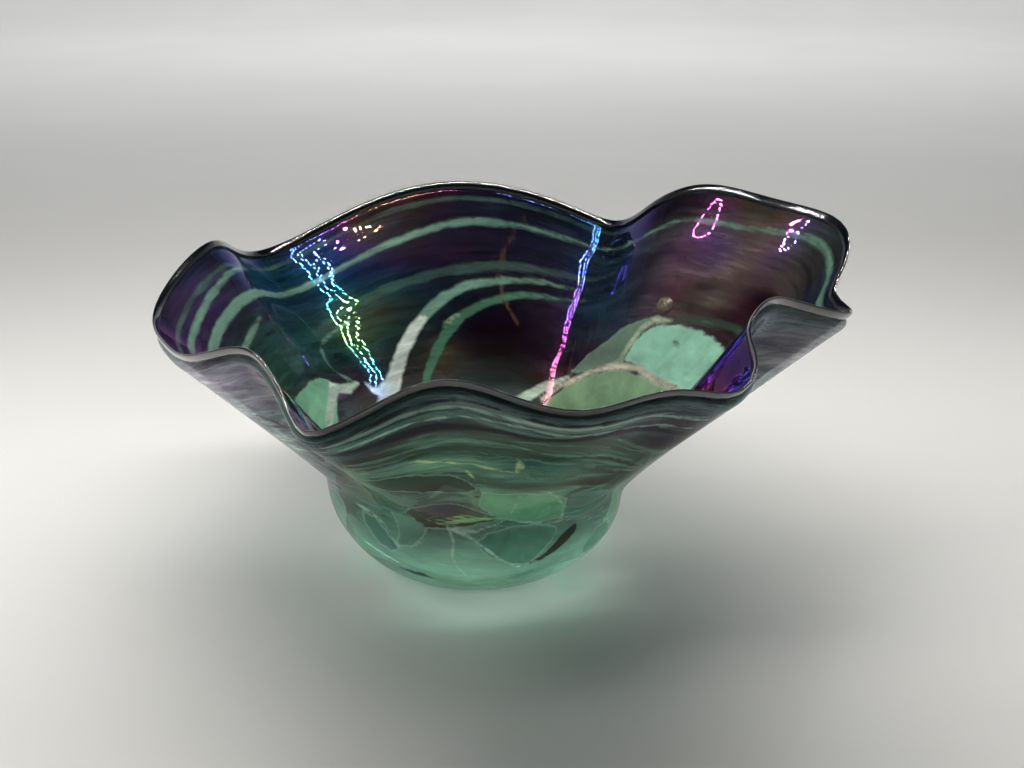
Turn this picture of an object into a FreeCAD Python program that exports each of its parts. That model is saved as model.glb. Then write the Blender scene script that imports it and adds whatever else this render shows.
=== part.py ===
"""Hand-blown art glass bowl with a ruffled rim, as the pieces of glass it is built from.

Frame: millimetres, +Z up, origin at the centre of the ground foot, on the surface it stands on.
The wall is one parametric shell. Its outer face, the interface between its two layers and its
inner face are three surfaces worked out from the same meridian and the same rim, so every piece
of the outer layer fits the inner layer face to face.
"""
import FreeCAD, Part
import Sketcher
import math
import os

Vector = FreeCAD.Vector

# Driving dimensions: alias, value, what it is (millimetres, or degrees where it says so).
SIZES = [
    ("rim_radius", 130, "mean radius of the rim"),
    ("rim_height", 114, "mean height of the rim over the table"),
    ("neck_radius", 59, "radius of the round body where the flare begins"),
    ("neck_height", 37, "mean height of the neck"),
    ("neck_lean", 4, "how much higher the neck is on the -X side than its mean"),
    ("neck_bend", 6, "length over which the wall turns from the body into the flare"),
    ("body_power", 1.35, "leanness of the body's curve: 1 is a quarter of an ellipse"),
    ("foot_radius", 26.5, "radius of the ground flat that the bowl stands on"),
    ("outer_foot", 2.4, "thickness of the outer layer at the foot"),
    ("outer_neck", 1.6, "thickness of the outer layer at the neck"),
    ("outer_lip", 1.1, "thickness of the outer layer at the lip"),
    ("inner_foot", 2.8, "thickness of the inner layer at the foot"),
    ("inner_neck", 1.8, "thickness of the inner layer at the neck"),
    ("inner_lip", 1.3, "thickness of the inner layer at the lip"),
    ("lip_band", 2.2, "height of the wall that belongs to the lip bead, below its round"),
    ("chip_width", 28, "length of an ordinary colour chip along the wall"),
    ("chip_breadth", 18, "breadth of an ordinary colour chip"),
    ("seed_radius", 4, "radius of the tan bead of glass on the inside"),
    ("seed_height", 1.6, "height of that bead over the inner face"),
]

# Crests and hollows of the ruffled rim: azimuth in degrees from +X towards +Y, then how far
# that point stands outside the mean radius and above the mean height.
RIM_POINTS = [
    (2, 13, 4), (12, 17, 18), (19, 9, 20), (27, 3, 21), (40, -5, 21), (51, -6, 9),
    (62, 5, -4), (72, 3, 2), (94, -6, 14), (114, 2, 4), (137, 9, -13), (154, -7, 2),
    (163, -8, 0), (178, -6, -12), (197, -12, -15), (215, -13, -10), (225, -13, -3),
    (237, -10, -1), (245, 0, -12), (252, 11, -12), (260, 1, -4), (268, 3, 4),
    (276, 7, 0), (284, 12, -4), (297, 13, -1), (308, 12, -6), (313, 8, -2),
    (320, -6, 3), (327, -10, 8), (338, -5, 4), (351, 13, -7),
]

# Colour chips of the body: name, azimuth, place on the body curve (0 at the foot, 1 at the
# neck), tilt in degrees, and its length and breadth as shares of an ordinary chip's.
CHIPS = [
    ("mint_chip_01", 205, 0.80, 18, 0.95, 1.00),
    ("mint_chip_02", 243, 0.82, 6, 1.05, 0.86),
    ("mint_chip_03", 281, 0.80, -6, 1.02, 1.00),
    ("mint_chip_04", 328, 0.80, 10, 0.90, 1.00),
    ("mint_chip_05", 8, 0.79, -14, 1.05, 0.95),
    ("mint_chip_06", 48, 0.79, 16, 1.10, 0.92),
    ("mint_chip_07", 88, 0.80, -10, 1.05, 0.95),
    ("mint_chip_08", 128, 0.79, 14, 1.10, 0.92),
    ("mint_chip_09", 167, 0.80, -8, 1.05, 0.95),
    ("mint_chip_10", 238, 0.33, 4, 0.80, 0.92),
    ("mint_chip_11", 284, 0.34, -6, 0.82, 0.95),
    ("mint_chip_12", 328, 0.34, -4, 0.78, 0.95),
    ("mint_chip_13", 12, 0.34, 5, 0.80, 0.92),
    ("mint_chip_14", 57, 0.34, -5, 0.78, 0.95),
    ("mint_chip_15", 102, 0.34, 6, 0.80, 0.92),
    ("mint_chip_16", 148, 0.34, -4, 0.82, 0.95),
    ("mint_chip_17", 193, 0.34, 5, 0.80, 0.92),
    ("amethyst_sliver_front", 304, 0.84, 36, 0.70, 0.24),
    ("amethyst_sliver_left", 248, 0.58, -8, 0.48, 0.24),
    ("amethyst_sliver_back", 108, 0.80, 80, 0.56, 0.24),
]

# Drawn bands of the flare, from the neck to the lip: name and the share of the flare at its top.
BANDS = [
    ("smoke_band_low", 0.20),
    ("sage_band_low", 0.36),
    ("smoke_band_middle", 0.54),
    ("sage_band_middle", 0.68),
    ("smoke_band_high", 0.84),
    ("sage_band_high", None),
]

BODY_SHARE = 0.37       # share of the wall's parameter that the round body takes
BODY_STATIONS = 6       # rings of the surface net on the body, the neck not counted
FLARE_STATIONS = [0, 0.04, 0.09, 0.16, 0.28, 0.46, 0.70, 1]
AZIMUTH_COUNT = 72      # points of each ring
STEP = 1e-4             # step of the parameter for a tangent
LENGTH_ROOM = 0.48      # a chip's greatest length and breadth, as shares of the neck's radius,
BREADTH_ROOM = 0.31     # so that neighbours stay apart on a smaller body
VOLUME_SLACK = 2.5e-3   # share by which the pieces of a layer may miss its volume
CAP_ANGLES = [0, 45, 90, 135, 180]


doc = FreeCAD.newDocument("glass_bowl")
sheet = doc.addObject("Spreadsheet::Sheet", "Sizes")
for row, (alias, value, meaning) in enumerate(SIZES, start=1):
    sheet.set("A%d" % row, meaning)
    sheet.set("B%d" % row, str(value))
    sheet.setAlias("B%d" % row, alias)
doc.recompute()


def size(alias):
    """One driving dimension, as the spreadsheet holds it."""
    return float(getattr(sheet, alias))


# ---------------------------------------------------------------- shape of the outer face

def rim_curve():
    """The ruffled rim as a closed cubic curve over azimuth: (offset of radius, offset of height)."""
    knots = [azimuth for azimuth, out, up in RIM_POINTS]
    curve = Part.BSplineCurve()
    curve.interpolate(
        Points=[Vector(out, up, 0) for azimuth, out, up in RIM_POINTS],
        PeriodicFlag=True,
        Parameters=knots + [knots[0] + 360],
    )
    return curve


RIM = rim_curve()


def rim_at(azimuth):
    """Radius and height of the rim at an azimuth in degrees."""
    first = RIM_POINTS[0][0]
    offset = RIM.value(first + (azimuth - first) % 360)
    return size("rim_radius") + offset.x, size("rim_height") + offset.y


def outer_point(azimuth, share):
    """A point of the outer face: share runs from 0 at the foot to 1 at the rim."""
    angle = math.radians(azimuth)
    foot = size("foot_radius")
    neck = size("neck_radius")
    neck_z = size("neck_height") - size("neck_lean") * math.cos(angle)
    if share <= BODY_SHARE:
        turn = math.pi / 2 * share / BODY_SHARE
        radius = foot + (neck - foot) * math.sin(turn) ** size("body_power")
        height = neck_z * (1 - math.cos(turn))
    else:
        along = (share - BODY_SHARE) / (1 - BODY_SHARE)
        rim_r, rim_z = rim_at(azimuth)
        bend = size("neck_bend") / math.hypot(rim_r - neck, rim_z - neck_z)
        lean_out = (math.hypot(along, bend) - bend) / (math.hypot(1, bend) - bend)
        radius = neck + (rim_r - neck) * lean_out
        height = neck_z + (rim_z - neck_z) * along
    return Vector(radius * math.cos(angle), radius * math.sin(angle), height)


def tangents(azimuth, share):
    """Unit vector up the meridian and unit normal pointing out of the bowl, at a point."""
    if share == 0:
        angle = math.radians(azimuth)
        return Vector(math.cos(angle), math.sin(angle), 0), Vector(0, 0, -1)
    low = share - STEP
    high = share if share in (BODY_SHARE, 1) else share + STEP
    up = (outer_point(azimuth, high) - outer_point(azimuth, low)).normalize()
    turn = STEP * 360
    around = outer_point(azimuth + turn, share) - outer_point(azimuth - turn, share)
    return up, around.cross(up).normalize()


def thickness(layer, share):
    """Thickness of a layer, drawn evenly from foot to neck and from neck to lip."""
    foot, neck, lip = (size(layer + end) for end in ("_foot", "_neck", "_lip"))
    if share <= BODY_SHARE:
        return foot + (neck - foot) * share / BODY_SHARE
    return neck + (lip - neck) * (share - BODY_SHARE) / (1 - BODY_SHARE)


def depth_of(face, share):
    """How far inside the outer face one of the three faces lies."""
    if face == "outer":
        return 0
    if face == "between":
        return thickness("outer", share)
    return thickness("outer", share) + thickness("inner", share)


def wall_point(face, azimuth, share):
    """A point of one of the three faces of the wall."""
    up, normal = tangents(azimuth, share)
    return outer_point(azimuth, share) - normal * depth_of(face, share)


# ---------------------------------------------------------------- surfaces and closed solids

AZIMUTHS = [360 * i / AZIMUTH_COUNT for i in range(AZIMUTH_COUNT)]


def body_stations():
    return [BODY_SHARE * i / BODY_STATIONS for i in range(BODY_STATIONS)]


def flare_share(along):
    return BODY_SHARE + (1 - BODY_SHARE) * along


STATIONS = body_stations() + [flare_share(along) for along in FLARE_STATIONS]


def smooth_surface(rows, row_parameters):
    """A cubic surface through rows of points, each row a closed ring of AZIMUTH_COUNT points."""
    rings = []
    for row in rows:
        ring = Part.BSplineCurve()
        ring.interpolate(Points=row, PeriodicFlag=True, Parameters=AZIMUTHS + [360])
        rings.append(ring)
    columns = []
    for poles in zip(*(ring.getPoles() for ring in rings)):
        column = Part.BSplineCurve()
        column.interpolate(Points=list(poles), Parameters=row_parameters)
        columns.append(column)
    surface = Part.BSplineSurface()
    surface.buildFromPolesMultsKnots(
        [column.getPoles() for column in columns],
        rings[0].getMultiplicities(),
        columns[0].getMultiplicities(),
        rings[0].getKnots(),
        columns[0].getKnots(),
        True,
        False,
        rings[0].Degree,
        columns[0].Degree,
    )
    return surface


def wall_surface(face):
    rows = [[wall_point(face, azimuth, share) for azimuth in AZIMUTHS] for share in STATIONS]
    return smooth_surface(rows, STATIONS)


def strip(surface, low, high):
    """The whole ring of a surface between two of its shares."""
    return surface.toShape(0, 360, low, high)


def ring_edge(surface, share):
    return surface.vIso(share).toShape()


def bridge(surface_a, surface_b, share):
    """The ring-shaped end face of a layer, across its thickness."""
    return Part.makeRuledSurface(ring_edge(surface_a, share), ring_edge(surface_b, share))


def floor_disc(surface):
    """The flat round face that closes a layer at the foot."""
    return Part.Face(Part.Wire(ring_edge(surface, 0)))


def closed_solid(faces):
    shell = Part.makeShell(faces)
    shell.sewShape()
    solid = Part.makeSolid(shell)
    if solid.Volume < 0:
        solid.reverse()
    return solid


def add_piece(name, shape):
    """A sub-part whose shape is worked out here from the spreadsheet's sizes."""
    piece = doc.addObject("Part::Feature", name)
    piece.Label = name
    piece.Shape = shape
    piece.Placement = FreeCAD.Placement()
    return piece


OUTER = wall_surface("outer")
BETWEEN = wall_surface("between")
INNER = wall_surface("inner")


def lip_share():
    """Share of the wall at which the lip bead begins."""
    rim_length = math.hypot(size("rim_radius") - size("neck_radius"),
                            size("rim_height") - size("neck_height"))
    return flare_share(1 - size("lip_band") / rim_length)


# ---------------------------------------------------------------- inner layer

def amethyst_inner_wall():
    """The first gather, blown into one continuous cup: it carries everything else."""
    top = lip_share()
    return closed_solid([
        strip(BETWEEN, 0, top),
        strip(INNER, 0, top),
        bridge(BETWEEN, INNER, top),
        floor_disc(BETWEEN),
        floor_disc(INNER),
    ])


# ---------------------------------------------------------------- outer layer

def outer_ring(low, high):
    """A ring of the outer layer between two shares of the wall."""
    return closed_solid([
        strip(OUTER, low, high),
        strip(BETWEEN, low, high),
        bridge(OUTER, BETWEEN, low),
        bridge(OUTER, BETWEEN, high),
    ])


def across_wall(azimuth, place, tilt):
    """Placement whose Z axis crosses the body wall outwards, its X axis turned from level."""
    share = BODY_SHARE * place
    up, normal = tangents(azimuth, share)
    level = up.cross(normal)
    frame = FreeCAD.Rotation(level, up, normal, "ZXY")
    spin = FreeCAD.Rotation(Vector(0, 0, 1), tilt)
    return FreeCAD.Placement(outer_point(azimuth, share), frame * spin)


def pocket_tool(name, place, length, breadth):
    """An oval plug that crosses the outer layer, bound to the spreadsheet's sizes."""
    oval = doc.addObject("Part::Ellipse", name + "_oval")
    oval.setExpression("MajorRadius", length + " / 2")
    oval.setExpression("MinorRadius", breadth + " / 2")
    oval.Placement = place
    plug = doc.addObject("Part::Extrusion", name + "_plug")
    plug.Base = oval
    plug.DirMode = "Normal"
    plug.Solid = True
    plug.setExpression("LengthFwd", "Sizes.chip_breadth / 2")
    plug.setExpression("LengthRev", "Sizes.chip_breadth / 2")
    return plug


def chip_tools():
    room = "min(Sizes.%s; %g * Sizes.neck_radius) * %g"
    tools = []
    for name, azimuth, place, tilt, long_share, broad_share in CHIPS:
        length = room % ("chip_width", LENGTH_ROOM, long_share)
        breadth = room % ("chip_breadth", BREADTH_ROOM, broad_share)
        tools.append((name, pocket_tool(name, across_wall(azimuth, place, tilt), length, breadth)))
    return tools


def add_boolean(kind, name, base, tool):
    """A boolean of two objects of the document."""
    result = doc.addObject(kind, name)
    result.Label = name
    result.Base = base
    result.Tool = tool
    return result


# ---------------------------------------------------------------- lip

def lip_cap():
    """The half-round, fire-polished edge that joins the outer face to the inner one."""
    rows = []
    for angle in CAP_ANGLES:
        across = math.cos(math.radians(angle))
        over = math.sin(math.radians(angle))
        row = []
        for azimuth in AZIMUTHS:
            up, normal = tangents(azimuth, 1)
            half = depth_of("inner", 1) / 2
            middle = outer_point(azimuth, 1) - normal * half
            row.append(middle + normal * (half * across) + up * (half * over))
        rows.append(row)
    return smooth_surface(rows, CAP_ANGLES)


def lip_bead():
    low = lip_share()
    cap = lip_cap()
    return closed_solid([
        strip(OUTER, low, 1),
        strip(INNER, low, 1),
        bridge(OUTER, INNER, low),
        cap.toShape(0, 360, CAP_ANGLES[0], CAP_ANGLES[-1]),
    ])


# ---------------------------------------------------------------- ground foot

def origin_plane(body, role):
    for feature in body.Origin.OriginFeatures:
        if feature.Role == role:
            return feature


def ground_foot():
    """The clear button under the base, ground and polished flat where the punty broke away."""
    body = doc.addObject("PartDesign::Body", "ground_foot")
    body.Label = "ground_foot"
    sketch = body.newObject("Sketcher::SketchObject", "ground_foot_outline")
    sketch.AttachmentSupport = [(origin_plane(body, "XY_Plane"), "")]
    sketch.MapMode = "FlatFace"
    circle = Part.Circle(Vector(0, 0, 0), Vector(0, 0, 1), size("foot_radius"))
    sketch.addGeometry(circle, False)
    sketch.addConstraint(Sketcher.Constraint("Coincident", 0, 3, -1, 1))
    radius = sketch.addConstraint(Sketcher.Constraint("Radius", 0, size("foot_radius")))
    sketch.setExpression("Constraints[%d]" % radius, "Sizes.foot_radius")
    button = body.newObject("PartDesign::Pad", "ground_foot_pad")
    button.Profile = sketch
    button.setExpression("Length", "Sizes.outer_foot")
    return body


# ---------------------------------------------------------------- bead of glass on the inside

SEED_AZIMUTH = 33       # where the bead sits: degrees round the bowl
SEED_ALONG = 0.55       # and share of the way from the neck to the rim
SEED_SINK = 0.5         # how deep its edge runs into the wall before it is cut to fit


def tan_seed(wall):
    """A small round bead of glass fused to the inner face: a low dome, cut to the wall."""
    share = flare_share(SEED_ALONG)
    up, normal = tangents(SEED_AZIMUTH, share)
    seat = wall_point("inner", SEED_AZIMUTH, share)
    radius, height = size("seed_radius"), size("seed_height")
    ball = (radius ** 2 + height ** 2) / (2 * height)
    edge_latitude = math.degrees(math.asin((ball - height - SEED_SINK) / ball))
    dome = Part.makeSphere(ball, seat + normal * (ball - height), normal * -1, edge_latitude, 90)
    return dome.cut(wall)


# ---------------------------------------------------------------- the assembly

PARTS = []


def build():
    wall = add_piece("amethyst_inner_wall", amethyst_inner_wall())
    PARTS.append(wall)
    body_layer = add_piece("outer_body_layer", outer_ring(0, BODY_SHARE))
    tools = chip_tools()
    for name, tool in tools:
        PARTS.append(add_boolean("Part::Common", name, body_layer, tool))
    pockets = doc.addObject("Part::Compound", "chip_pockets")
    pockets.Links = [tool for name, tool in tools]
    PARTS.append(add_boolean("Part::Cut", "clear_body_casing", body_layer, pockets))
    low = BODY_SHARE
    for name, along in BANDS:
        high = flare_share(along) if along else lip_share()
        PARTS.append(add_piece(name, outer_ring(low, high)))
        low = high
    PARTS.append(add_piece("lip_bead", lip_bead()))
    PARTS.append(add_piece("tan_seed", tan_seed(wall.Shape)))
    PARTS.append(ground_foot())


build()
doc.recompute()
for item in doc.Objects:
    for flaw in ("Invalid", "Error"):
        if flaw in item.State:
            raise RuntimeError("%s: %s" % (item.Name, flaw))

# The casing and what it holds must fill the body's outer layer, no more and no less.
layer_volume = doc.getObject("outer_body_layer").Shape.Volume
filled = doc.getObject("clear_body_casing").Shape.Volume
filled += sum(doc.getObject(name).Shape.Volume for name, *rest in CHIPS)
print("outer body layer %.1f mm3, its pieces %.1f mm3" % (layer_volume, filled))
if abs(filled - layer_volume) > VOLUME_SLACK * layer_volume:
    raise RuntimeError("the body's outer layer holds %.0f mm3 of %.0f" % (filled, layer_volume))
for part in PARTS:
    if part.Shape.isNull() or not part.Shape.isValid() or not part.Shape.Solids:
        raise RuntimeError("%s has no sound solid" % part.Label)

os.makedirs("parts", exist_ok=True)
for part in PARTS:
    box = part.Shape.BoundBox
    print("%-24s solids %d volume %8.1f size %5.1f %5.1f %5.1f low %5.1f" % (
        part.Label, len(part.Shape.Solids), part.Shape.Volume,
        box.XLength, box.YLength, box.ZLength, box.ZMin))
    part.Shape.exportStep("parts/%s.step" % part.Label)
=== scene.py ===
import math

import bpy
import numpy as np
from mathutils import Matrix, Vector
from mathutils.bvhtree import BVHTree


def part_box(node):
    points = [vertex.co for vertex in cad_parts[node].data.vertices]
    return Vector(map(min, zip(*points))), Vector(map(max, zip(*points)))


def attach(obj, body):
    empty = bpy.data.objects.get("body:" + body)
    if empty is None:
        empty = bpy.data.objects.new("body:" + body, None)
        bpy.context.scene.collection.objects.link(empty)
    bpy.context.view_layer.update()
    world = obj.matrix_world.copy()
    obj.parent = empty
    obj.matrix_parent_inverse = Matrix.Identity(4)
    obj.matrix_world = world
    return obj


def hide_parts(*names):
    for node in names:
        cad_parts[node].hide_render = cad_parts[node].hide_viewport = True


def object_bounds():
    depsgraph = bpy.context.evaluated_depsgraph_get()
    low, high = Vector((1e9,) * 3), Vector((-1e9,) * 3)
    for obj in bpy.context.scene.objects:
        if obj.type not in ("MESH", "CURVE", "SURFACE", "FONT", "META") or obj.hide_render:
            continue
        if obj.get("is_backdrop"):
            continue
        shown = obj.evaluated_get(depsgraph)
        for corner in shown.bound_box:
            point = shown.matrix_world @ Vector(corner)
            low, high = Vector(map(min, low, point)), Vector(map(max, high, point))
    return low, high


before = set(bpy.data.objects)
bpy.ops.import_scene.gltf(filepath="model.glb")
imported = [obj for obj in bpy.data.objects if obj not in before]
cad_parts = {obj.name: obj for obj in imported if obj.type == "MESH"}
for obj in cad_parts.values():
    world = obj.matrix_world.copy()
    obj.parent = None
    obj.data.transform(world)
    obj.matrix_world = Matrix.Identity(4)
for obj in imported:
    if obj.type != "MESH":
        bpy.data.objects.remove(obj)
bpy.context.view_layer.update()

# %% [markdown]
# # An art glass bowl with a ruffled rim
# The bowl is one piece of hot-worked glass: a dark amethyst cup, cased outside in pale green
# glass with mint colour chips, opened out into a wide flare and ruffled at the rim. The frame
# holds its true shape as many closed solids. Here those solids become glass that light can
# pass: one wall with an outside and an inside face, a round bead along the rim, the ground foot
# and the small tan bead inside.

MM = 0.001

# %% [markdown]
# The camera comes first, because everything is judged through it. It stands in front of the
# bowl, a little to the right of its axis, and looks down at it by 19 degrees through a 50 mm
# lens. So the bowl sits a little left of the middle of the view, without any shift of the lens.

# %% Camera
CAMERA_PLACE = (14.8 * MM, -525.2 * MM, 255.0 * MM)
CAMERA_DOWN = 19.0              # degrees below level
LENS, SENSOR = 50, 36           # millimetres
bpy.ops.object.camera_add(location=CAMERA_PLACE, rotation=(math.radians(90 - CAMERA_DOWN), 0, 0))
camera = bpy.context.object
camera.name = "camera"
camera.data.lens = LENS
camera.data.sensor_width = SENSOR
camera.data.clip_start = 10 * MM
bpy.context.scene.camera = camera
print("camera at", [round(v, 4) for v in CAMERA_PLACE], "looking down", CAMERA_DOWN, "degrees")

# %% [markdown]
# The wall follows the frame exactly, and its ruffles are too uneven to shape by hand a second
# time. So it is measured with rays, in every direction round the bowl's axis. First come the
# numbers of rows and columns, and one search tree over the solids of the wall, which tells a
# ray what it meets.

# %% A search tree over the wall's solids
ROUND = 400                     # columns of the wall, round the bowl
FAN = 300                       # rays of each column
FLOOR_LINES, BODY_LINES, FLARE_LINES = 8, 36, 68    # rows of each face, from the middle to the lip
LINES = FLOOR_LINES + BODY_LINES + FLARE_LINES
AZIMUTHS = np.radians(np.arange(ROUND) * 360 / ROUND)
APART = ("tan_seed", "lip_bead", "ground_foot")
WALL_NODES = sorted(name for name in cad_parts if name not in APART)


def solids_tree(names):
    """One search tree over the faces of several of the frame's solids."""
    points, faces = [], []
    for name in names:
        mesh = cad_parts[name].data
        start = len(points)
        points += [v.co.copy() for v in mesh.vertices]
        faces += [[start + i for i in p.vertices] for p in mesh.polygons]
    return BVHTree.FromPolygons(points, faces)


wall_tree = solids_tree(WALL_NODES)
print("solids in the wall", len(WALL_NODES))

# %% [markdown]
# A ray leaves one point on the axis. The first face it meets is the inside of the wall, and a
# second ray, cast back from far away along the same line, meets the outside first. The rim is
# as high as the steepest ray that still meets the wall, found by halving.

# %% Rays from the axis
FAN_CENTRE = Vector((0, 0, 75 * MM))
FAR = 0.5                       # well outside the bowl
STEEPEST = math.radians(60)
HALVINGS = 14


def cast(azimuth, rise):
    """Where a ray first meets the wall from inside, and where one first meets it from outside."""
    level = math.cos(rise)
    way = Vector((math.cos(azimuth) * level, math.sin(azimuth) * level, math.sin(rise)))
    near = wall_tree.ray_cast(FAN_CENTRE, way)[0]
    far = wall_tree.ray_cast(FAN_CENTRE + way * FAR, -way)[0]
    return (near, far) if near and far else None


def rim_rise(azimuth):
    """The steepest ray of a column that still meets the wall."""
    low, high = 0.0, STEEPEST
    for _ in range(HALVINGS):
        middle = (low + high) / 2
        if cast(azimuth, middle):
            low = middle
        else:
            high = middle
    return low


print("rim at the right", round(math.degrees(rim_rise(0.0)), 1), "degrees above the fan's centre")

# %% [markdown]
# The rows are spaced evenly along each column, in three stretches: the floor within the foot's
# radius, the round body up to the neck, and the flare. The neck leans, so it lies between the
# top of the body's casing on one side and the bottom of the first band on the other.

# %% Rows of one column
FLOOR_REACH = 0.97              # of the foot's radius
foot_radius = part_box("ground_foot")[1].x
band_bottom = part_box("smoke_band_low")[0].z
casing_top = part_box("clear_body_casing")[1].z


def neck_height(azimuth):
    """The height of the neck at an azimuth in radians."""
    mean, lean = (band_bottom + casing_top) / 2, (casing_top - band_bottom) / 2
    return mean - lean * np.cos(azimuth)


def spaced(points, neck):
    """Rows of one column: so many on the floor, so many on the body, the rest on the flare."""
    steps = np.linalg.norm(np.diff(points, axis=0), axis=1)
    length = np.concatenate([[0], np.cumsum(steps)])
    rounds = np.hypot(points[:, 0], points[:, 1])
    floor_end = np.interp(FLOOR_REACH * foot_radius, rounds, length)
    body_end = np.interp(neck, points[:, 2], length)
    at = np.concatenate([
        np.linspace(0, floor_end, FLOOR_LINES + 1)[1:],
        np.linspace(floor_end, body_end, BODY_LINES + 1)[1:],
        np.linspace(body_end, length[-1], FLARE_LINES + 1)[1:],
    ])
    return np.stack([np.interp(at, length, points[:, k]) for k in range(3)], axis=1)


print("neck from", round(band_bottom, 4), "to", round(casing_top, 4))

# %% [markdown]
# Both faces are measured column by column, as two grids of points. The solids' meshes are made
# of small flats, which would show in a mirror-bright surface, so each point is averaged with its
# neighbours. That also makes the ruffles shallower; averaging once more tells by how much, and
# the difference is given back.

# %% Measure both faces of the wall
OFF_AXIS = 1e-4                 # the lowest ray is this far from straight down, in radians
INSIDE_NECK_UP = 1 * MM         # the neck is higher on the inside face
POLISH = 5                      # rounds of averaging


def measure_wall():
    """Two grids of points, column by column: the inside face and the outside face."""
    grids = [], []
    for azimuth in AZIMUTHS:
        rises = np.linspace(-math.pi / 2 + OFF_AXIS, rim_rise(azimuth), FAN)
        hits = [hit for hit in (cast(azimuth, rise) for rise in rises) if hit]
        for side, neck_up in ((0, INSIDE_NECK_UP), (1, 0)):
            points = np.array([hit[side] for hit in hits])
            grids[side].append(spaced(points, neck_height(azimuth) + neck_up))
    return np.array(grids[0]), np.array(grids[1])


def softened(grid):
    """The grid averaged with its neighbours, a few times over."""
    for _ in range(POLISH):
        grid = (np.roll(grid, 1, axis=0) + 2 * grid + np.roll(grid, -1, axis=0)) / 4
        inner = (grid[:, :-2] + 2 * grid[:, 1:-1] + grid[:, 2:]) / 4
        grid = np.concatenate([grid[:, :1], inner, grid[:, -1:]], axis=1)
    return grid


def polished(grid):
    """The solids' small flats smoothed away, while the ruffles keep their depth."""
    once = softened(grid)
    return 2 * once - softened(once)


inside, outside = (polished(grid) for grid in measure_wall())
rim_round = np.hypot(outside[:, -1, 0], outside[:, -1, 1])
print("rim radius from", round(rim_round.min(), 4), "to", round(rim_round.max(), 4))

# %% [markdown]
# A closed wall has the same build as a ball that is pushed in from above: its upper half
# becomes the inside face and its lower half the outside one. Spinning an outline would only
# give a round bowl, and no operator gives uneven ruffles. So the wall starts as a ball with one
# ring for every measured row, and each ring is laid on its row. The two poles close the floor.

# %% The wall of the bowl
RINGS = 2 * LINES + 1           # steps from the ball's upper pole to its lower one


def start_clean():
    """Deselect everything, because an operator acts on all that is selected."""
    bpy.ops.object.select_all(action="DESELECT")


def own_points(piece):
    return np.array([v.co for v in piece.data.vertices])


def column_of(points):
    """The column of the wall that each point of a round primitive belongs to."""
    turn = np.arctan2(points[:, 1], points[:, 0])
    return np.rint(turn / math.tau * ROUND).astype(int) % ROUND


def lay(piece, places):
    """Put a primitive's points in their places, and shade it smooth."""
    piece.data.vertices.foreach_set("co", places.astype(np.float32).ravel())
    piece.data.update()
    bpy.ops.object.shade_smooth()


start_clean()
bpy.ops.mesh.primitive_uv_sphere_add(segments=ROUND, ring_count=RINGS, radius=1)
wall = bpy.context.object
wall.name = "bowl_wall"
ball = own_points(wall)
ring = np.rint(np.arccos(np.clip(ball[:, 2], -1, 1)) / math.pi * RINGS).astype(int)
rows = np.concatenate([inside, outside[:, ::-1]], axis=1)
laid = rows[column_of(ball), np.clip(ring - 1, 0, 2 * LINES - 1)]
for pole, face in ((0, inside), (RINGS, outside)):
    laid[ring == pole] = (0, 0, face[:, 0, 2].mean())
lay(wall, laid)
print("wall", len(wall.data.polygons), "faces, size", [round(v, 4) for v in np.ptp(laid, axis=0)])

# %% [markdown]
# The lip is a round, dark bead, because the edge was melted smooth in the flame and the glass
# drew together there. It could be a curve with a bevel, but a torus already is a closed ring:
# its section is made a little taller than it is thick and carried along the top of the wall.

# %% The bead of the rim
BEAD_THICK, BEAD_TALL, BEAD_UP = 1.15 * MM, 1.8 * MM, 1.5 * MM
SECTION = 16                    # points round the bead's section
LEAN_ROWS = 3                   # the wall's lean at the lip is taken over so many rows


def unit(vectors):
    return vectors / np.linalg.norm(vectors, axis=-1, keepdims=True)


start_clean()
bpy.ops.mesh.primitive_torus_add(major_segments=ROUND, minor_segments=SECTION, major_radius=1,
                                 minor_radius=0.2)
bead = bpy.context.object
bead.name = "rim_bead"
torus = own_points(bead)
turn = np.arctan2(torus[:, 2], np.hypot(torus[:, 0], torus[:, 1]) - 1)[:, None]
middles = (inside + outside) / 2
lip = middles[:, -1][column_of(torus)]
lip_up = unit(middles[:, -1] - middles[:, -1 - LEAN_ROWS])[column_of(torus)]
lip_out = unit(outside[:, -1] - inside[:, -1])[column_of(torus)]
along_up = lip_up * (BEAD_UP + BEAD_TALL * np.sin(turn))
lay(bead, lip + along_up + lip_out * BEAD_THICK * np.cos(turn))
print("bead", len(bead.data.polygons), "faces, top", round(own_points(bead)[:, 2].max(), 4))

# %% [markdown]
# One small tan bead of glass sits on the inside face, picked up by chance while the bowl was
# hot. It is a low dome: a ball flattened along the wall's normal, at the spot where a ray to
# its solid meets the wall.

# %% The tan bead
SEED_RADIUS, SEED_FLAT = 4 * MM, 0.42
seed_low, seed_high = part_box("tan_seed")
to_seed = ((seed_low + seed_high) / 2 - FAN_CENTRE).normalized()
seat, wall_normal = wall_tree.ray_cast(FAN_CENTRE, to_seed)[:2]
if wall_normal.dot(FAN_CENTRE - seat) < 0:
    wall_normal = -wall_normal
start_clean()
bpy.ops.mesh.primitive_uv_sphere_add(segments=48, ring_count=24, radius=SEED_RADIUS,
                                     scale=(1, 1, SEED_FLAT))
seed = bpy.context.object
seed.name = "tan_bead"
seed.rotation_euler = wall_normal.to_track_quat("Z", "Y").to_euler()
seed.location = seat
bpy.ops.object.transform_apply(location=True, rotation=True, scale=True)
bpy.ops.object.shade_smooth()
print("tan bead at", [round(v, 4) for v in seat])

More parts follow.
